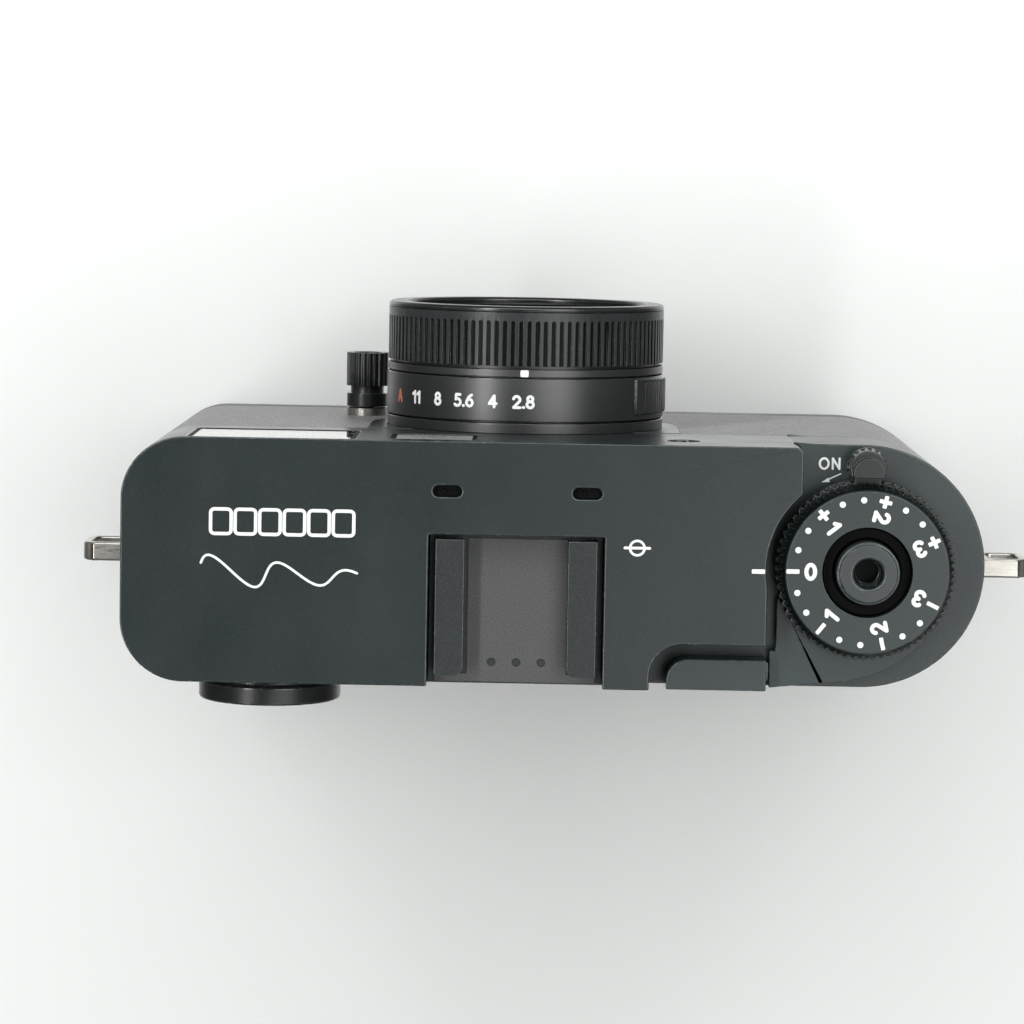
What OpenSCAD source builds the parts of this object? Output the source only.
// Half frame camera.
// Millimetres, +Z up, the lens points along -Y, +X is the viewfinder end.
// The origin is the mouth of the tripod socket, straight below the lens axis,
// at half the depth of the body.

/* [Body] */
// Width over the two ends, without the strap lugs
body_w = 105.8; // [104:0.2:107]
// Depth of the body, without lens and eyepiece
body_d = 30; // [29.6:0.2:30.4]
// Height of the top cover above the base
cover_h = 62; // [62:0.2:62.4]
// Drop from the top cover to the deck under the dial
deck_drop = 6.6; // [6.5:0.1:6.8]
// Height of the seam between the leather and the top cover
seam_h = 42.2; // [42:0.1:42.4]
// Height of the bottom plate
base_h = 4; // [3.8:0.1:4.2]
// Distance from the lens axis to the viewfinder end
lens_to_end = 48.7; // [48.4:0.1:49]
// Radius of the two corners at the viewfinder end
corner_r = 7.7; // [7.4:0.1:8]
// Thickness of the outer walls
wall = 1.2; // [1.1:0.05:1.3]
// Thickness of the top and deck plates
cover_t = 1.4; // [1.3:0.05:1.5]
// Thickness of the leather covering
leather_t = 0.5; // [0.4:0.05:0.6]

/* [Lens] */
// Height of the lens axis above the base
lens_z = 31; // [30.8:0.1:31.2]
// Outer radius of the aperture ring
aperture_ring_r = 17.8; // [17.7:0.05:17.9]
// Outer radius of the focus ring
focus_ring_r = 17.7; // [17.6:0.05:17.8]
// Outer radius of the fixed barrel that carries the rings
barrel_r = 16.4; // [16.3:0.05:16.5]
// Distance from the front of the body to the front rim
lens_reach = 15.9; // [15.8:0.05:16]
// Number of flutes on the focus ring
focus_flutes = 108; // [90:2:120]
// Radius of the filter thread
filter_r = 15.25; // [15:0.05:15.4]
// Half width of the smooth panel round the lens
panel_r = 19.8; // [19.4:0.1:20]

/* [Dial and levers] */
// Height of the dial above the base
dial_top = 62.6; // [62.4:0.1:62.8]
// Radius of the dial at its lower edge
dial_r = 10.65; // [10.5:0.05:10.8]
// Number of teeth on the dial
dial_teeth = 75; // [60:1:80]
// Radius of the power ring
power_r = 11.1; // [11:0.05:11.2]
// Height of the top of the shutter button
button_top = 64.3; // [64.1:0.1:64.5]
// Radius of the shutter button
button_r = 3.85; // [3.8:0.05:3.9]

/* [Accessory shoe] */
// Place of the middle of the shoe, from the lens axis
shoe_x = 0.5; // [0.4:0.05:0.6]
// Gap between the two rails
shoe_gap = 12.6; // [12.5:0.05:12.8]
// Width of the slot under the rails
shoe_slot_w = 18.7; // [18.6:0.05:18.8]
// Height of the slot under the rails
shoe_slot_h = 2.05; // [2:0.05:2.1]

/* [Viewfinder] */
// Distance of the viewfinder axis from the lens axis
finder_x = 31; // [30.9:0.1:31.2]
// Height of the viewfinder axis
finder_z = 52; // [51.9:0.1:52.1]
// Radius of the eyepiece ring
eyepiece_r = 8.8; // [8.7:0.05:8.9]
// How far the eyepiece stands behind the body
eyepiece_reach = 3; // [2.8:0.1:3.2]

/* [Rear screen] */
// Place of the middle of the rear screen, from the lens axis
screen_x = 3.4; // [3.3:0.05:3.5]
// Width of the screen window
screen_w = 36.8; // [36.4:0.1:37]
// Height of the screen window
screen_h = 50.4; // [50:0.1:50.6]

/* [Hidden] */

// Number of sides that stands for a true circle
round_fn = 96;
small_fn = 48;
// Overlap that keeps a cut from ending in a shared face
cut = 1;
// Clearance of a ring or lever that turns on a post
run = 0.1;
// Gap between faces that pass each other
gap = 0.3;

// Plan of the body
half_d = body_d / 2;
left_x = lens_to_end;
right_x = left_x - body_w;
dial_x = right_x + half_d;
corner_x = left_x - corner_r;
corner_y = half_d - corner_r;
deck_h = cover_h - deck_drop;
deck_edge_x = dial_x + 8;
deck_well_r = 12.25;
deck_side_x = dial_x + 12.05;
deck_corner_r = 1;
lever_notch_y = 9.3;
lever_notch_x = dial_x + 26.2;
lever_notch_r = 4;

// Lens stack, measured along -Y from the middle of the body
panel_y = -half_d - 0.05;
mount_y = panel_y - 1.3;
mount_ring_r = aperture_ring_r - 0.05;
aperture_y0 = mount_y - 0.2;
aperture_y1 = aperture_y0 - 5.4;
index_y0 = aperture_y1 - 0.2;
index_y1 = index_y0 - 0.9;
focus_y0 = index_y1 - 0.4;
flute_end_y = focus_y0 - 5.65;
flute_w = 0.56;
flute_depth = 0.3;
focus_y1 = flute_end_y - 1.05;
bezel_y0 = focus_y1 - 0.06;
lens_front_y = -half_d - lens_reach;
barrel_bore_r = 13.2;
barrel_rear_r = 14.9;
barrel_rear_y = -9;
ring_bore_r = barrel_r + run;
filter_depth = 3.4;
baffle_y0 = lens_front_y + filter_depth;
front_glass_r = 9.4;
group_glass_r = 9.5;

// Stack of the dial, the power ring and the advance lever on their post
post_r = 5.4;
post_top = dial_top - 1.2;
post_pocket_r = button_r + 0.25;
post_pocket_z = post_top - 1.6;
hub_bore_r = post_r + run;
advance_z0 = deck_h + gap;
advance_z1 = advance_z0 + 1.7;
power_z0 = advance_z1 + gap;
power_z1 = power_z0 + 1.6;
dial_z0 = power_z1 + gap;
button_stem_r = 2;
socket_r = 1.6;
socket_mouth_r = 2;

// Shoe
shoe_floor = cover_h - 1.2 - shoe_slot_h;
shoe_base = shoe_floor - 0.8;
shoe_front_y = -3.6;
recess_w = 21.4;
shoe_side_t = 0.5;
shoe_lead = 0.55;
shoe_step = 1.4;

// Screens and doors
screen_z = 31.1;
status_w = 10;
status_h = 28;
status_z = 24;
flap_w = 8.5;
flap_h = 15.8;
flap_z = 22;
flap_t = 1.1;
flap_axis_x = left_x - flap_t / 2;
socket_x = left_x - 6.5;
flap_axis_y = 4;
door_x0 = dial_x - 6.1;
door_x1 = dial_x + 24.6;
door_y0 = -9.2;
door_y1 = 11.8;
door_t = 1.8;
door_pin_z = 1.3;
door_knuckle_r = 1.2;
door_pin_r = 0.5;
door_knuckles = [[-6, -1], [4, 9]];
plate_knuckles = [[-9.5, -6.3], [-0.7, 3.7], [9.3, 12.1]];

// Knob beside the lens
knob_x = 21.1;
knob_z = 17;
knob_r = 2.7;
knob_boss_y = -half_d - 1;

lug_z = 50.5;
lug_w = 2.3;
lug_h = 8.6;
lug_reach = 5.5;
lug_bar = 1.1;

// Microphone slots, front windows and lamp
mic_offset = 8.5;
mic_y = -8.9;
mic_w = 3.5;
mic_d = 1.4;
finder_window_x = 30.6;
finder_window_z = 54.1;
finder_window_w = 20.4;
finder_window_h = 14.6;
finder_window_r = 1.2;
flash_x = 10.9;
flash_z = 54.7;
flash_w = 10.3;
flash_h = 9;
lamp_x = -19.7;
lamp_z = 54.2;
lamp_r = 2.05;

// Play button, and the edges of the leather on the back
play_x = -22.3;
play_z = 12;
play_r = 2.6;
thumb_edge_x = -17.2;
wrap_edge_x = 41;

// Bottom plate, battery housing and latch
bush_r = 5;
screw_places = [[43, -9], [43, 9], [-8, 11], [-8, -11]];
latch_y = 1.3;
box_x0 = dial_x - 6.4;
box_x1 = dial_x + 23.6;

// Ends of the advance lever and of the power lever, grip of the aperture ring
lever_arc_at = [4.72, -2.36];
lever_arc_r = 16.64;
lever_end_x = 11.35;
tip_gap = 0.5;
tip_y = 11.3;
tip_w = 12.2;
tip_d = 3.8;
tip_z1 = advance_z1 + 2.6;
tip_r = 2.7;
power_tab_at = 12.4;
power_tab_r = 2.5;
power_tab_top_r = 2.2;
power_cap_r = 1.9;
power_cap_shift = 0.5;
power_tab_flat = 1;
power_scallops = 17;
grip_r = aperture_ring_r + 0.3;
grip_from = 51.5;
grip_to = 100;
grip_pitch = 2.9;

cover_black = "#33393b";
leather_black = "#26282a";
metal_black = "#2a2d2f";
steel = "#b9b4a8";
board_green = "#2f6b4a";
glass_tint = "#4a5a6a";

// Straight slab between two heights over a plan
module slab(z0, z1) {
    translate([0, 0, z0])
        linear_extrude(z1 - z0)
            children();
}

// Cylinder whose axis runs along Y, from y0 towards y1
module rod_y(x, z, r, y0, y1, fn = round_fn) {
    translate([x, max(y0, y1), z])
        rotate([90, 0, 0])
            cylinder(r = r, h = abs(y1 - y0), $fn = fn);
}

// Tube whose axis runs along Y
module tube_y(x, z, r_out, r_in, y0, y1) {
    difference() {
        rod_y(x, z, r_out, y0, y1);
        rod_y(x, z, r_in, min(y0, y1) - cut, max(y0, y1) + cut);
    }
}

// Profile drawn as [radius, distance along -Y], turned about the lens axis
module turned_y(y0) {
    translate([0, y0, lens_z])
        rotate([90, 0, 0])
            rotate_extrude($fn = round_fn)
                children();
}

// Box given by its two corners
module box(p, q) {
    translate(p)
        cube(q - p);
}

// Rectangle with round corners, centred on the origin
module round_rect(w, h, r) {
    square([w - 2 * r, h], center = true);
    square([w, h - 2 * r], center = true);
    for (sx = [-1, 1], sy = [-1, 1])
        translate([sx * (w / 2 - r), sy * (h / 2 - r)])
            circle(r = r, $fn = small_fn);
}

// Plate in the X-Z plane with round corners
module plate_y(x, z, w, h, r, y0, y1) {
    translate([x, max(y0, y1), z])
        rotate([90, 0, 0])
            linear_extrude(abs(y1 - y0))
                round_rect(w, h, r);
}

// Plan of the body: round at the dial end, two corners at the other end
module footprint(inset = 0) {
    half = half_d - inset;
    translate([dial_x, 0])
        circle(r = half, $fn = round_fn);
    translate([dial_x, -half])
        square([corner_x - dial_x, 2 * half]);
    translate([corner_x - cut, -corner_y])
        square([left_x - inset - corner_x + cut, 2 * corner_y]);
    for (side = [-1, 1])
        translate([corner_x, side * corner_y])
            circle(r = corner_r - inset, $fn = round_fn);
}

// Plan of the raised top cover, which leaves the deck and the lever notch free
module cover_plan(inset = 0) {
    difference() {
        footprint(inset);
        translate([right_x - cut, -body_d])
            square([deck_edge_x + inset - right_x + cut, 2 * body_d]);
        translate([dial_x, 0])
            circle(r = deck_well_r + inset, $fn = round_fn);
        translate([right_x, 0])
            square([deck_side_x + inset - right_x, body_d]);
        translate([deck_edge_x + inset, -half_d + inset])
            outer_corner(deck_corner_r);
        lever_notch(inset);
    }
}

// What a round corner of radius r takes off a square one at the origin
module outer_corner(r) {
    difference() {
        translate([-cut, -cut])
            square(r + cut);
        translate([r, r])
            circle(r = r, $fn = small_fn);
    }
}

module lever_notch(inset) {
    translate([right_x, lever_notch_y - inset])
        square([lever_notch_x - lever_notch_r - right_x, body_d]);
    translate([right_x, lever_notch_y + lever_notch_r])
        square([lever_notch_x + inset - right_x, body_d]);
    translate([lever_notch_x - lever_notch_r, lever_notch_y + lever_notch_r])
        circle(r = lever_notch_r + inset, $fn = small_fn);
}

// Ring of teeth: a polygon whose radius swings between root and crest
module toothed(root, crest, teeth) {
    step = 360 / teeth;
    polygon([
        for (i = [0 : teeth - 1], p = [[-0.3, root], [-0.1, crest], [0.2, crest], [0.4, root]])
            p[1] * [cos(step * (i + p[0])), sin(step * (i + p[0]))]
    ]);
}

module lug_slots() {
    box([left_x - wall - 0.2, -lug_w / 2, lug_z - lug_h / 2], [left_x + cut, lug_w / 2, lug_z + lug_h / 2]);
    box(
        [right_x - cut, -lug_w / 2, lug_z - lug_h / 2],
        [right_x + wall + 0.2, lug_w / 2, lug_z + lug_h / 2]
    );
}

// Hole for the screen, with a ledge that the window lies on
module screen_hole() {
    plate_y(screen_x, screen_z, screen_w, screen_h, 1.2, half_d - 0.95, half_d + cut);
    plate_y(screen_x, screen_z, screen_w - 2, screen_h - 2, 1, half_d - 4, half_d);
}

// Outline of the front window, smaller all round by ease
module finder_window_plate(ease, y0, y1) {
    plate_y(
        finder_window_x, finder_window_z,
        finder_window_w - 2 * ease, finder_window_h - 2 * ease, finder_window_r - ease,
        y0, y1
    );
}

module top_cover() {
    color(cover_black)
        difference() {
            slab(seam_h, cover_h) cover_plan();
            slab(seam_h - cut, deck_h - cover_t) footprint(wall);
            slab(deck_h - cover_t - 0.1, cover_h - cover_t) cover_plan(wall);
            box(
                [shoe_x - recess_w / 2, shoe_front_y, shoe_base],
                [shoe_x + recess_w / 2, half_d + cut, cover_h + cut]
            );
            for (side = [-1, 1])
                translate([shoe_x + side * mic_offset, mic_y, cover_h - cover_t - cut])
                    linear_extrude(cover_t + 2 * cut)
                        round_rect(mic_w, mic_d, mic_d / 2 - 0.01);
            finder_window_plate(0, -half_d - cut, -half_d + 2);
            rod_y(finder_x, finder_z, eyepiece_r - 1.3, half_d - 2, half_d + cut);
            plate_y(flash_x, flash_z, flash_w, flash_h, 1, -half_d - cut, -half_d + 2);
            rod_y(lamp_x, lamp_z, lamp_r, -half_d - cut, -half_d + 2, small_fn);
            rod_y(0, lens_z, barrel_rear_r + 0.02, -half_d - cut, -half_d + 4);
            screen_hole();
            lug_slots();
        }
}

module shoulder_deck() {
    color(cover_black)
        difference() {
            slab(seam_h, deck_h)
                difference() {
                    footprint();
                    cover_plan();
                }
            slab(seam_h - cut, deck_h - cover_t) footprint(wall);
            translate([dial_x, 0, deck_h - cover_t - cut])
                cylinder(r = post_r - 0.9, h = cover_t + 2 * cut, $fn = small_fn);
            lug_slots();
        }
}

module half_shell(side) {
    intersection() {
        slab(base_h, seam_h)
            difference() {
                footprint();
                footprint(leather_t + wall);
            }
        box([right_x - cut, min(0, side * body_d), 0], [left_x + cut, max(0, side * body_d), cover_h]);
    }
}

// Opening in the end wall that the connector flap closes
module flap_hole() {
    box(
        [left_x - 3, -4.7, flap_z - flap_h / 2 - 0.1],
        [left_x + cut, flap_axis_y + 0.9, flap_z + flap_h / 2 + 0.1]
    );
    for (side = [-1, 1])
        translate([flap_axis_x, flap_axis_y, flap_z + side * (flap_h / 2 + 0.5)])
            cylinder(r = 0.35, h = 1.2, center = true, $fn = small_fn);
}

// Outline of the panel round the lens: round below, straight up to the seam
module panel_outline(r) {
    top = seam_h - lens_z - (panel_r - r);
    intersection() {
        union() {
            circle(r = r, $fn = round_fn);
            translate([-r, 0])
                square([2 * r, top]);
        }
        translate([-r - cut, -r - cut])
            square([2 * (r + cut), r + cut + top]);
    }
}

module front_shell() {
    color(metal_black)
        difference() {
            union() {
                difference() {
                    half_shell(-1);
                    leather_skin(-1, 0.001);
                }
                rod_y(knob_x, knob_z, knob_r - 0.1, -half_d + leather_t + wall, knob_boss_y, small_fn);
                for (x = [24, 41], z = [8, 38])
                    rod_y(x, z, 2, -half_d + leather_t + 0.5, barrel_rear_y, small_fn);
            }
            rod_y(0, lens_z, barrel_rear_r + 0.02, -half_d - cut, -half_d + 4);
            panel_pocket();
            rod_y(knob_x, knob_z, 1.05, -half_d - 3, -half_d + 4, small_fn);
            flap_hole();
        }
}

// Room for the smooth panel round the lens
module panel_pocket() {
    translate([0, -half_d + leather_t, lens_z])
        rotate([90, 0, 0])
            linear_extrude(leather_t + cut)
                panel_outline(panel_r);
}

module back_shell() {
    color(metal_black)
        difference() {
            half_shell(1);
            leather_skin(1, 0.001);
            screen_hole();
            plate_y(finder_x, status_z, status_w, status_h, 1, half_d - 1.2, half_d + cut);
            rod_y(play_x, play_z, play_r + 0.1, half_d - 4, half_d + cut, small_fn);
            flap_hole();
        }
}

module bottom_plate() {
    color(metal_black)
        difference() {
            union() {
                difference() {
                    slab(0, base_h) footprint();
                    slab(cover_t, base_h + cut) footprint(wall);
                    door_hole();
                }
                for (k = plate_knuckles)
                    plate_knuckle(k[0], k[1]);
                for (p = screw_places)
                    translate([p[0], p[1], 0.5])
                        cylinder(r = 2.2, h = base_h - 0.5, $fn = small_fn);
            }
            rod_y(door_x1, door_pin_z, door_pin_r + 0.02, -9.5 - cut, 12.1 + cut, small_fn);
            translate([0, 0, -cut])
                cylinder(r = bush_r + 0.02, h = base_h + 2 * cut, $fn = round_fn);
            for (p = screw_places)
                translate([p[0], p[1], 0]) {
                    translate([0, 0, -cut])
                        cylinder(r = 0.85, h = base_h + 2 * cut, $fn = small_fn);
                    translate([0, 0, -cut])
                        cylinder(r = 1.55, h = 1 + cut, $fn = small_fn);
                }
        }
}

module door_hole() {
    box([door_x0 - 0.25, -9.5, -cut], [door_x1 + 1.5, 12.1, base_h + cut]);
}

module plate_knuckle(y0, y1) {
    rod_y(door_x1, door_pin_z, door_knuckle_r, y0, y1, small_fn);
    box([door_x1, y0, 0.1], [door_x1 + 1.5, y1, door_pin_z + door_knuckle_r]);
}

module battery_door() {
    color(metal_black)
        difference() {
            union() {
                box([door_x0, door_y0, 0], [door_x1 - 1.5, door_y1, door_t]);
                for (k = door_knuckles) {
                    rod_y(door_x1, door_pin_z, door_knuckle_r, k[0], k[1], small_fn);
                    box([door_x1 - 1.6, k[0], 0.1], [door_x1, k[1], door_t]);
                }
            }
            rod_y(door_x1, door_pin_z, door_pin_r + 0.05, door_y0, door_y1, small_fn);
            box([door_x0 + 0.8, latch_y - 3.1, -cut], [door_x0 + 6, latch_y + 3.1, 0.9]);
        }
}

module door_latch() {
    color(steel)
        difference() {
            box([door_x0 + 2.4, latch_y - 3, 0.05], [door_x0 + 5.9, latch_y + 3, 0.85]);
            for (i = [0 : 3])
                box(
                    [door_x0 + 2.9 + 0.7 * i, latch_y - 2.4, -cut],
                    [door_x0 + 3.2 + 0.7 * i, latch_y + 2.4, 0.25]
                );
        }
}

module door_pin() {
    color(steel)
        rod_y(door_x1, door_pin_z, door_pin_r, -9.4, 12, small_fn);
}

module tripod_bush() {
    color(steel)
        difference() {
            union() {
                cylinder(r = bush_r, h = 6.8, $fn = round_fn);
                translate([0, 0, cover_t])
                    cylinder(r = bush_r + 1.4, h = 0.8, $fn = round_fn);
            }
            translate([0, 0, -cut])
                cylinder(r = 3.175, h = 5.5 + cut, $fn = round_fn);
        }
}

module base_screws() {
    color(steel)
        for (p = screw_places)
            translate([p[0], p[1], 0])
                difference() {
                    union() {
                        translate([0, 0, 0.15])
                            cylinder(r = 1.5, h = 0.85, $fn = small_fn);
                        translate([0, 0, 0.9])
                            cylinder(r = 0.8, h = 4.6, $fn = small_fn);
                    }
                    for (a = [0, 90])
                        rotate([0, 0, a])
                            translate([-0.9, -0.15, -cut])
                                cube([1.8, 0.3, 0.65 + cut]);
                }
}

// Leather that lies in the shell, flush with the body. The pocket that takes
// it in the shell is cut a little larger than the leather itself.
module leather_skin(side, ease = 0) {
    intersection() {
        slab(base_h - ease, seam_h + ease)
            difference() {
                footprint(-ease);
                footprint(leather_t + ease);
            }
        if (side < 0)
            box([right_x - cut, -body_d, 0], [left_x + cut, 0, cover_h]);
        else
            union() {
                box([right_x - cut, 0, 0], [thumb_edge_x, body_d, cover_h]);
                box([wrap_edge_x, 0, 0], [left_x + cut, body_d, cover_h]);
            }
    }
}

module leather_front() {
    color(leather_black)
        difference() {
            leather_skin(-1);
            translate([0, -half_d + leather_t + cut, lens_z])
                rotate([90, 0, 0])
                    linear_extrude(leather_t + 2 * cut)
                        panel_outline(panel_r);
            rod_y(knob_x, knob_z, knob_r - 0.05, -half_d - cut, -half_d + 2, small_fn);
            flap_hole();
        }
}

module leather_back() {
    color(leather_black)
        difference() {
            leather_skin(1);
            rod_y(play_x, play_z, play_r + 0.2, half_d - 2, half_d + cut, small_fn);
            flap_hole();
        }
}

module lens_panel() {
    color(cover_black)
        difference() {
            translate([0, -half_d + leather_t, lens_z])
                rotate([90, 0, 0])
                    linear_extrude(-panel_y - half_d + leather_t)
                        panel_outline(panel_r - 0.03);
            rod_y(0, lens_z, mount_ring_r + 0.02, panel_y - cut, -half_d + 2);
        }
}

module chassis() {
    color("#7d8084")
        difference() {
            union() {
                box([-15.2, barrel_rear_y, 7.2], [45.5, barrel_rear_y + 1.2, 41.5]);
                for (x = [-10.2, 10.2], z = [lens_z - 12, lens_z + 10])
                    rod_y(x, z, 1.2, barrel_rear_y + 1, -1.8, small_fn);
                for (x = [24, 43], z = [12, 36])
                    rod_y(x, z, 1.6, barrel_rear_y + 1, 3.5, small_fn);
                rod_y(0, lens_z, 10.5, barrel_rear_y, barrel_rear_y + 2.4);
            }
            rod_y(0, lens_z, 8.8, barrel_rear_y - cut, barrel_rear_y + 4);
            plate_y(33.5, 24, 12, 20, 2, barrel_rear_y - cut, barrel_rear_y + 3);
        }
}

module mount_ring() {
    color(metal_black)
        tube_y(0, lens_z, mount_ring_r, barrel_r + 0.02, -half_d, mount_y);
}

module lens_barrel() {
    color(metal_black)
        difference() {
            union() {
                rod_y(0, lens_z, barrel_r, -half_d, bezel_y0);
                rod_y(0, lens_z, barrel_rear_r, barrel_rear_y, -half_d - 0.1);
            }
            rod_y(0, lens_z, barrel_bore_r, lens_front_y - cut, barrel_rear_y + cut);
            rod_y(0, lens_z, barrel_r - 0.5, lens_front_y - cut, baffle_y0 + 2);
        }
}

// Wedge between two angles, as seen by someone who looks along the lens axis
module wedge(from, to, r) {
    polygon([
        [0, 0],
        r * [sin(from), cos(from)],
        1.2 * r * [sin((from + to) / 2), cos((from + to) / 2)],
        r * [sin(to), cos(to)],
    ]);
}

module index_ring() {
    color(metal_black)
        tube_y(0, lens_z, focus_ring_r, barrel_r + 0.02, index_y0, index_y1);
}

// Aperture ring with a ribbed finger grip on its dial-side flank
module aperture_ring() {
    groove_r = 0.24;
    color(metal_black)
        difference() {
            union() {
                rod_y(0, lens_z, aperture_ring_r, aperture_y0, aperture_y1);
                translate([0, aperture_y0 - 0.7, lens_z])
                    rotate([90, 0, 0])
                        linear_extrude(aperture_y0 - 0.95 - aperture_y1)
                            intersection() {
                                circle(r = grip_r, $fn = round_fn);
                                mirror([1, 0])
                                    wedge(grip_from, grip_to, 2 * grip_r);
                            }
            }
            rod_y(0, lens_z, ring_bore_r, aperture_y1 - cut, aperture_y0 + cut);
            for (a = [grip_from + 2.2 * grip_pitch : grip_pitch : grip_to - grip_pitch / 2])
                rod_y(
                    -(grip_r + 0.04) * sin(a), lens_z + (grip_r + 0.04) * cos(a), groove_r,
                    aperture_y0 - 0.7, aperture_y1 + 0.5, small_fn
                );
        }
}

// Focus ring: flat-bottomed flutes, round at the front, open at the back
module focus_ring() {
    color(metal_black)
        difference() {
            tube_y(0, lens_z, focus_ring_r, ring_bore_r, focus_y0, focus_y1);
            for (i = [0 : focus_flutes - 1])
                translate([0, 0, lens_z])
                    rotate([0, (i + 0.5) * 360 / focus_flutes, 0])
                        translate([0, 0, focus_ring_r - flute_depth])
                            linear_extrude(flute_depth + cut) {
                                translate([-flute_w / 2, flute_end_y + flute_w / 2])
                                    square([flute_w, focus_y0 - flute_end_y]);
                                translate([0, flute_end_y + flute_w / 2])
                                    circle(r = flute_w / 2, $fn = small_fn);
                            }
        }
}

module front_bezel() {
    color(metal_black)
        turned_y(0)
            polygon([
                [filter_r, -baffle_y0],
                [barrel_r - 0.52, -baffle_y0],
                [barrel_r - 0.52, -bezel_y0],
                [focus_ring_r - 0.02, -bezel_y0],
                [focus_ring_r - 0.02, -lens_front_y - 0.3],
                [focus_ring_r - 0.32, -lens_front_y],
                [filter_r + 0.3, -lens_front_y],
                [filter_r, -lens_front_y - 0.3],
            ]);
}

// Stepped dark ring between the filter thread and the front glass
module baffle_ring() {
    steps = 6;
    inner = front_glass_r - 0.7;
    outer = barrel_r - 0.52;
    pitch = (outer - 1 - inner) / steps;
    color("#1d1f20")
        turned_y(0)
            polygon(concat(
                [
                    [barrel_bore_r - 0.02, -baffle_y0 - 5],
                    [barrel_bore_r - 0.02, -baffle_y0 - 2],
                    [outer, -baffle_y0 - 2],
                    [outer, -baffle_y0],
                    [outer - 1, -baffle_y0],
                ],
                [
                    for (i = [0 : steps - 1], e = [0.35, 1])
                        [outer - 1 - pitch * (i + (e < 1 ? 0 : 1)), -baffle_y0 - 0.3 * (i + 1)]
                ],
                [
                    [inner, -baffle_y0 - 2.4],
                    [front_glass_r + 0.02, -baffle_y0 - 2.4],
                    [front_glass_r + 0.02, -baffle_y0 - 5],
                ]
            ));
}

// Lens with one or two domed faces, centred on the lens axis
module glass_y(r, edge_y0, edge_y1, dome_front, dome_back) {
    function ball(h) = (r * r + h * h) / (2 * h);
    intersection() {
        rod_y(0, lens_z, r, edge_y0 + 10, edge_y1 - 10);
        if (dome_front > 0)
            translate([0, edge_y1 - dome_front + ball(dome_front), lens_z])
                sphere(r = ball(dome_front), $fn = round_fn);
        if (dome_back > 0)
            translate([0, edge_y0 + dome_back - ball(dome_back), lens_z])
                sphere(r = ball(dome_back), $fn = round_fn);
        else
            box([-r - cut, edge_y1 - 10, lens_z - r - cut], [r + cut, edge_y0, lens_z + r + cut]);
    }
}

module front_element() {
    color(glass_tint)
        glass_y(front_glass_r - 0.75, baffle_y0 + 4.6, baffle_y0 + 2.4, 1.6, 0);
    color(glass_tint)
        rod_y(0, lens_z, front_glass_r, baffle_y0 + 2.45, baffle_y0 + 4.6);
}

module focus_group() {
    color("#45484a")
        difference() {
            rod_y(0, lens_z, barrel_bore_r - 0.3, -12, -20);
            rod_y(0, lens_z, group_glass_r, -13, -20 - cut);
            rod_y(0, lens_z, group_glass_r - 1, -12 + cut, -20 - cut);
        }
}

module focus_element() {
    color(glass_tint)
        intersection() {
            rod_y(0, lens_z, group_glass_r, -13, -19);
            translate([0, 12, lens_z])
                sphere(r = 30.8, $fn = round_fn);
        }
}

module shutter_unit() {
    color("#1b1c1d")
        difference() {
            rod_y(0, lens_z, barrel_bore_r, -11.6, barrel_rear_y);
            translate([0, -9, lens_z])
                rotate([90, 0, 0])
                    translate([0, 0, -cut])
                        cylinder(r = 4.6, h = 5, $fn = 7);
            rod_y(0, lens_z, 9, -11, barrel_rear_y + cut);
        }
}

module rear_element() {
    color(glass_tint)
        intersection() {
            rod_y(0, lens_z, 8.8, barrel_rear_y, barrel_rear_y + 3.6);
            translate([0, -30.4, lens_z])
                sphere(r = 25, $fn = round_fn);
        }
}

module image_sensor() {
    color("#3c3350")
        box([-7.5, -3.4, lens_z - 9.5], [7.5, -1.8, lens_z + 9.5]);
}

module sensor_board() {
    color(board_green) {
        box([-12.5, -1.8, lens_z - 14.5], [12.5, -0.6, lens_z + 11]);
        box([-5, -0.6, lens_z - 12], [5, 0.8, lens_z - 4]);
    }
}

// Fixed post that the dial, the power ring and the advance lever turn on
module button_post() {
    color(metal_black)
        translate([dial_x, 0, 0])
            difference() {
                union() {
                    translate([0, 0, deck_h])
                        cylinder(r = post_r, h = post_top - deck_h, $fn = round_fn);
                    translate([0, 0, deck_h - cover_t - 1])
                        cylinder(r = post_r - 0.92, h = cover_t + 1.2, $fn = small_fn);
                }
                translate([0, 0, deck_h - 5])
                    cylinder(r = button_stem_r + run, h = 20, $fn = small_fn);
                translate([0, 0, post_pocket_z - 3])
                    cylinder(r = post_pocket_r - 0.9, h = 10, $fn = small_fn);
                translate([0, 0, post_pocket_z])
                    cylinder(r = post_pocket_r, h = 10, $fn = small_fn);
            }
}

// Outline of the advance lever: a hub under the dial, and an arm whose outer
// edge swings away from the hub on a larger circle
module lever_outline() {
    circle(r = 10.9, $fn = round_fn);
    intersection() {
        translate(lever_arc_at)
            circle(r = lever_arc_r, $fn = round_fn);
        translate([-10.2, 2])
            square([10.7 + lever_arc_at[0], 20]);
    }
    polygon([
        [0, 2],
        [lever_arc_at[0], lever_arc_at[1] + lever_arc_r],
        [lever_end_x, half_d],
        [lever_end_x, 10.4],
        [10.6, 10.4],
        [10.6, 4],
    ]);
}

module advance_lever() {
    color(metal_black)
        translate([dial_x, 0, 0])
            difference() {
                slab(advance_z0, advance_z1) lever_outline();
                translate([0, 0, advance_z0 - cut])
                    cylinder(r = hub_bore_r, h = 10, $fn = round_fn);
            }
}

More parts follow.
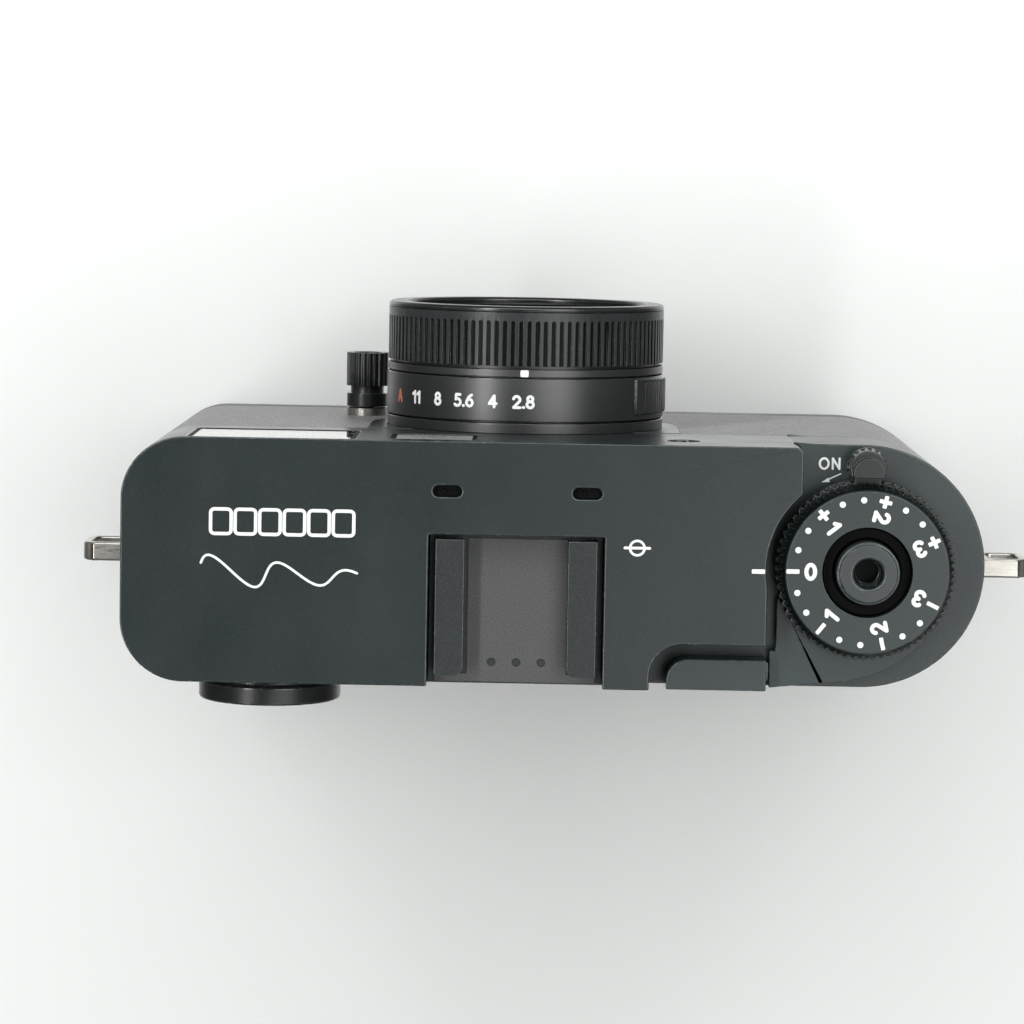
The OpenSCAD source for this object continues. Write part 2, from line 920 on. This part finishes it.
module advance_lever_tip() {
    color("#1f2224")
        translate([dial_x + lever_end_x + tip_gap, tip_y, 0])
            difference() {
                union() {
                    box([-tip_gap, 0.6, advance_z0], [0.1, 2.9, advance_z1 - 0.3]);
                    slab(advance_z0, tip_z1)
                        difference() {
                            square([tip_w, tip_d]);
                            translate([tip_w - tip_r, -cut])
                                difference() {
                                    square([tip_r + cut, tip_r + cut]);
                                    translate([0, tip_r + cut])
                                        circle(r = tip_r, $fn = small_fn);
                                }
                        }
                }
                for (i = [0 : 6])
                    box(
                        [2.4 + 1.1 * i, tip_d - 0.3, advance_z0 + 0.8],
                        [2.9 + 1.1 * i, tip_d + cut, tip_z1 - 0.8]
                    );
            }
}

// Power ring: coarse teeth, and a finger tab that points to the front
module power_lever() {
    color(metal_black)
        translate([dial_x, 0, 0])
            difference() {
                union() {
                    slab(power_z0, power_z1) toothed(power_r - 0.4, power_r, 60);
                    box([-1.6, -power_tab_at + 0.8, power_z0], [1.6, -power_r + 0.8, power_z1]);
                    translate([0, -power_tab_at, 0])
                        power_tab();
                }
                translate([0, 0, power_z0 - cut])
                    cylinder(r = hub_bore_r, h = 10, $fn = round_fn);
                translate([0, 0, power_z1])
                    cylinder(r = dial_r + gap, h = 10, $fn = round_fn);
            }
}

// Tapered skirt with scallops round it under a smooth cap, both flat towards the dial
module power_tab() {
    skirt_top = power_z1 + 0.9;
    cap_top = power_z1 + 2.1;
    intersection() {
        union() {
            difference() {
                translate([0, 0, power_z0])
                    cylinder(
                        r1 = power_tab_r, r2 = power_tab_top_r, h = skirt_top - power_z0, $fn = small_fn
                    );
                for (i = [0 : power_scallops - 1])
                    rotate((i + 0.5) * 360 / power_scallops)
                        translate([power_tab_r + 0.05, 0, power_z0 + 0.5])
                            cylinder(r = 0.36, h = 10, $fn = small_fn);
            }
            translate([0, power_cap_shift, skirt_top - cut])
                cylinder(r = power_cap_r, h = cap_top - skirt_top + cut, $fn = small_fn);
        }
        box([-4, -4, power_z0 - cut], [4, power_tab_flat, cap_top + cut]);
    }
}

module exposure_dial() {
    bevel_h = 1.4;
    color(metal_black)
        translate([dial_x, 0, 0])
            difference() {
                intersection() {
                    slab(dial_z0, dial_top) toothed(dial_r - 0.35, dial_r, dial_teeth);
                    union() {
                        translate([0, 0, dial_top - bevel_h])
                            cylinder(r1 = dial_r + 0.01, r2 = dial_r - 0.8, h = bevel_h, $fn = round_fn);
                        slab(dial_z0, dial_top - bevel_h) circle(r = dial_r + 0.01, $fn = round_fn);
                    }
                }
                translate([0, 0, dial_z0 - cut])
                    cylinder(r = hub_bore_r, h = 10, $fn = round_fn);
            }
}

// Button with a threaded socket for a cable release
module shutter_button() {
    color("#3a3f41")
        translate([dial_x, 0, 0])
            difference() {
                union() {
                    translate([0, 0, post_top])
                        cylinder(r = button_r, h = button_top - post_top - 0.5, $fn = round_fn);
                    translate([0, 0, button_top - 0.5])
                        cylinder(r = button_r - 0.35, h = 0.5, $fn = round_fn);
                    translate([0, 0, deck_h - 1.6])
                        cylinder(r = button_stem_r, h = post_top - deck_h + 2, $fn = small_fn);
                }
                translate([0, 0, button_top - 3.4])
                    cylinder(r = socket_r, h = 5, $fn = small_fn);
                translate([0, 0, button_top - 0.8])
                    cylinder(r1 = socket_r - 0.1, r2 = socket_mouth_r + 0.05, h = 0.9, $fn = small_fn);
            }
}

module button_spring() {
    color(steel)
        translate([dial_x, 0, 0])
            for (i = [0 : 3])
                translate([0, 0, post_pocket_z - 2.7 + 0.75 * i])
                    rotate_extrude($fn = small_fn)
                        translate([2.6, 0])
                            circle(r = 0.3, $fn = 16);
}

// Plan of one rail, with a round corner where the foot slides in
module rail_plan(side) {
    rail_r = 1.1;
    inner = shoe_gap / 2;
    outer = shoe_slot_w / 2 + shoe_side_t;
    rear = half_d - shoe_step;
    translate([shoe_x, 0])
        mirror([side < 0 ? 1 : 0, 0]) {
            translate([inner + rail_r, shoe_front_y + shoe_lead])
                square([outer - inner - rail_r, rear - shoe_front_y - shoe_lead]);
            translate([inner, shoe_front_y + shoe_lead])
                square([rail_r + 0.1, rear - rail_r - shoe_front_y - shoe_lead]);
            translate([inner + rail_r, rear - rail_r])
                circle(r = rail_r, $fn = small_fn);
        }
}

// Accessory shoe: a channel with two rails over a floor
module accessory_shoe() {
    color("#4a4d4e")
        union() {
            box(
                [shoe_x - recess_w / 2 + 0.03, shoe_front_y + 0.03, shoe_base],
                [shoe_x + recess_w / 2 - 0.03, half_d - 0.1, shoe_floor]
            );
            for (side = [-1, 1]) {
                slab(shoe_floor + shoe_slot_h, cover_h) rail_plan(side);
                slab(shoe_base, cover_h)
                    intersection() {
                        rail_plan(side);
                        translate([shoe_x + side * (shoe_slot_w / 2 + 5), 0])
                            square([10, 3 * body_d], center = true);
                    }
            }
        }
}

// Thin plate on the floor of the shoe, with three contact dimples
module shoe_plate() {
    strip_w = shoe_slot_w + 2 * shoe_side_t;
    color("#5a5c5c")
        difference() {
            union() {
                box(
                    [shoe_x - 6.3, shoe_front_y + 0.6, shoe_floor],
                    [shoe_x + 5.9, half_d - 0.3, shoe_floor + 0.2]
                );
                box(
                    [shoe_x - strip_w / 2, half_d - shoe_step + 0.1, shoe_floor],
                    [shoe_x + strip_w / 2, half_d - 0.3, shoe_floor + 0.2]
                );
            }
            for (i = [-1 : 1])
                translate([shoe_x - 0.17 + 3.04 * i, 12.25, shoe_floor - cut])
                    cylinder(r = 0.52, h = 2, $fn = small_fn);
        }
}

module mic_mesh(side) {
    color("#17191a")
        translate([shoe_x + side * mic_offset, mic_y, cover_h - cover_t - 1]) {
            linear_extrude(1)
                round_rect(mic_w + 1.2, mic_d + 1.2, 1);
            linear_extrude(1.5)
                round_rect(mic_w - 0.05, mic_d - 0.05, mic_d / 2 - 0.04);
            translate([0.4, 0, 1])
                cylinder(r = 0.25, h = 0.9, $fn = 24);
        }
}

module mic_mesh_a() {
    mic_mesh(1);
}

module mic_mesh_b() {
    mic_mesh(-1);
}

module finder_window() {
    color(glass_tint)
        finder_window_plate(0.02, -half_d + 0.08, -half_d + 1.3);
}

// Housing that joins the front window to the eyepiece
module finder_tube() {
    color("#1b1c1d")
        difference() {
            box([21, -half_d + 1.4, 44.4], [43, half_d - 2.4, 60.5]);
            box([22.2, -half_d, 45.9], [40, 0, 59.4]);
            rod_y(finder_x, finder_z, 6.8, -cut, half_d);
        }
}

module finder_element() {
    color(glass_tint)
        box([22.2, -10.5, 45.9], [40, -8.5, 59.4]);
}

module eyepiece_ring() {
    color(metal_black)
        difference() {
            union() {
                rod_y(finder_x, finder_z, eyepiece_r - 0.6, half_d, half_d + 0.7);
                rod_y(finder_x, finder_z, eyepiece_r, half_d + 0.7, half_d + eyepiece_reach);
                rod_y(finder_x, finder_z, eyepiece_r - 1.32, half_d - 2.3, half_d + 0.5);
            }
            rod_y(finder_x, finder_z, 6, half_d - 4, half_d + 10);
            rod_y(finder_x, finder_z, 6.9, half_d + eyepiece_reach - 1.4, half_d + 10);
        }
}

module eyepiece_glass() {
    color(glass_tint)
        rod_y(finder_x, finder_z, 6.88, half_d + eyepiece_reach - 1.4, half_d + eyepiece_reach - 0.5);
}

module flash_window() {
    color("#d8dcd8")
        plate_y(flash_x, flash_z, flash_w - 0.04, flash_h - 0.04, 0.98, -half_d + 0.15, -half_d + 1.2);
}

module flash_unit() {
    color("#c9c2a0") {
        box([flash_x - 4.4, -half_d + 1.3, flash_z - 3.8], [flash_x + 4.4, -half_d + 4.5, flash_z + 3.8]);
        box([flash_x - 5.6, -half_d + 4.5, flash_z - 4.6], [flash_x + 5.6, -half_d + 5.5, flash_z + 4.6]);
    }
}

module lamp_lens() {
    color("#e07a3a")
        union() {
            rod_y(lamp_x, lamp_z, lamp_r - 0.02, -half_d + 0.45, -half_d + 1.4, small_fn);
            rod_y(lamp_x, lamp_z, lamp_r + 0.8, -half_d + wall, -half_d + 2.2, small_fn);
        }
}

module screen_window() {
    color("#15181c")
        plate_y(screen_x, screen_z, screen_w - 0.06, screen_h - 0.06, 1.17, half_d - 0.9, half_d - 0.05);
}

module screen_module() {
    color("#6d7178") {
        box(
            [screen_x - screen_w / 2 + 2, half_d - 4.6, 8],
            [screen_x + screen_w / 2 - 2, half_d - 1.9, 54.4]
        );
        box([screen_x - 8, half_d - 6, 10], [screen_x + 8, half_d - 4.6, 24]);
    }
}

module status_window() {
    color("#15181c")
        plate_y(finder_x, status_z, status_w - 0.06, status_h - 0.06, 0.97, half_d - 1.15, half_d - 0.05);
}

// Push button beside the screen, with a flange behind the wall
module play_button() {
    inner_y = half_d - wall - leather_t;
    color("#3a3f41") {
        rod_y(play_x, play_z, play_r, inner_y, half_d + 0.6, small_fn);
        rod_y(play_x, play_z, play_r + 0.8, inner_y - 0.55, inner_y - 0.05, small_fn);
        rod_y(play_x, play_z, 1.2, inner_y - 0.55, inner_y + 0.1, small_fn);
    }
}

module main_board() {
    color(board_green)
        box([-15, 3.5, 7.5], [45.5, 4.7, 41.5]);
    color("#232527") {
        box([-9, 4.7, 28], [3, 6.2, 39.5]);
        box([6, 4.7, 26], [16, 6, 36]);
        box([24, 4.7, 14], [31, 7.5, 21]);
        box([34, 4.7, 24], [42, 6.4, 34]);
        box([-12, 2.3, 10], [-6, 3.5, 16]);
    }
}

// Housing for the battery and the card, open at the bottom
module battery_box() {
    color("#303234")
        difference() {
            union() {
                box([box_x0, -9, 3.2], [box_x1, 8.4, 49.6]);
                box([dial_x - 3.4, 8.3, 3.2], [dial_x + 22.2, 12.05, 38.5]);
            }
            box([box_x0 + 0.8, -8.2, 3.2 - cut], [box_x1 - 0.8, 7.6, 48.8]);
            box([dial_x - 2.6, 9.2, 3.2 - cut], [dial_x + 21.4, 11.4, 37.7]);
        }
}

module battery() {
    color("#8a8c90") {
        box([box_x0 + 0.9, -8.1, 3.6], [box_x1 - 0.9, 7.5, 48.8]);
        box([box_x1 - 7, -6, 3.3], [box_x1 - 2, 2, 3.6]);
    }
}

module memory_card() {
    color("#2b3f74")
        difference() {
            box([dial_x - 2.5, 9.25, 4.7], [dial_x + 21.3, 11.35, 37.7]);
            box([dial_x + 4, 9, 4], [dial_x + 15, 9.6, 6]);
        }
}

// Loop for a strap: a flat bar bent out of the end wall and back in
module strap_lug(side) {
    end_x = side > 0 ? left_x : right_x;
    color(steel)
        translate([end_x, 0, lug_z])
            rotate([90, 0, 0])
                translate([0, 0, -lug_w / 2])
                    linear_extrude(lug_w)
                        difference() {
                            union() {
                                translate([side > 0 ? -wall : -lug_reach + 1.2, -lug_h / 2])
                                    square([wall + lug_reach - 1.2, lug_h]);
                                translate([side * (lug_reach / 2), 0])
                                    round_rect(lug_reach, lug_h, 1.9);
                            }
                            translate([side * (lug_reach / 2 - 0.1), 0])
                                round_rect(lug_reach - 2 * lug_bar + 0.4, lug_h - 2 * lug_bar, 0.9);
                        }
}

module strap_lug_left() {
    strap_lug(1);
}

module strap_lug_right() {
    strap_lug(-1);
}

// Knurled knob beside the lens that sets the focus mode
module focus_mode_knob() {
    color("#3c3f40")
        difference() {
            union() {
                rod_y(knob_x, knob_z, 1, -11.5, knob_boss_y - 1, small_fn);
                rod_y(knob_x, knob_z, knob_r, knob_boss_y - 0.2, knob_boss_y - 1.9, small_fn);
                rod_y(knob_x, knob_z, knob_r - 0.5, knob_boss_y - 1.8, knob_boss_y - 3, small_fn);
                translate([knob_x, knob_boss_y - 2.9, knob_z])
                    rotate([90, 0, 0])
                        linear_extrude(4.4)
                            toothed(knob_r - 0.2, knob_r + 0.05, 22);
            }
            rod_y(knob_x, knob_z, knob_r - 0.8, knob_boss_y - 6.9, knob_boss_y - 9, small_fn);
        }
}

// Soft flap over the connector, with a stub at each end of its hinge edge
module usb_flap() {
    color("#232526")
        difference() {
            union() {
                box(
                    [left_x - flap_t, -4.5, flap_z - flap_h / 2],
                    [left_x, flap_axis_y, flap_z + flap_h / 2]
                );
                translate([flap_axis_x, flap_axis_y, flap_z])
                    cylinder(r = flap_t / 2, h = flap_h, center = true, $fn = small_fn);
                translate([flap_axis_x, flap_axis_y, flap_z])
                    cylinder(r = 0.3, h = flap_h + 1, center = true, $fn = small_fn);
            }
            box([left_x - 0.4, -5, flap_z - 2.5], [left_x + cut, -4, flap_z + 2.5]);
        }
}

module usb_socket() {
    color("#9a9da0")
        difference() {
            union() {
                box([socket_x - 6, -2.9, 13.6], [socket_x, 3.4, 31]);
                translate([socket_x - 0.1, 0, 22])
                    rotate([0, 90, 0])
                        linear_extrude(4.7)
                            round_rect(9, 3.3, 1.6);
            }
            translate([socket_x + 0.5, 0, 22])
                rotate([0, 90, 0])
                    linear_extrude(10)
                        round_rect(8.3, 2.6, 1.25);
        }
}

top_cover();
shoulder_deck();
front_shell();
back_shell();
bottom_plate();
leather_front();
leather_back();
lens_panel();
chassis();
mount_ring();
lens_barrel();
index_ring();
aperture_ring();
focus_ring();
front_bezel();
baffle_ring();
front_element();
focus_group();
focus_element();
shutter_unit();
rear_element();
image_sensor();
sensor_board();
button_post();
advance_lever();
advance_lever_tip();
power_lever();
exposure_dial();
shutter_button();
button_spring();
accessory_shoe();
shoe_plate();
mic_mesh_a();
mic_mesh_b();
finder_window();
finder_tube();
finder_element();
eyepiece_ring();
eyepiece_glass();
flash_window();
flash_unit();
lamp_lens();
screen_window();
screen_module();
status_window();
play_button();
main_board();
battery_box();
battery();
memory_card();
battery_door();
door_latch();
door_pin();
tripod_bush();
base_screws();
strap_lug_left();
strap_lug_right();
focus_mode_knob();
usb_flap();
usb_socket();
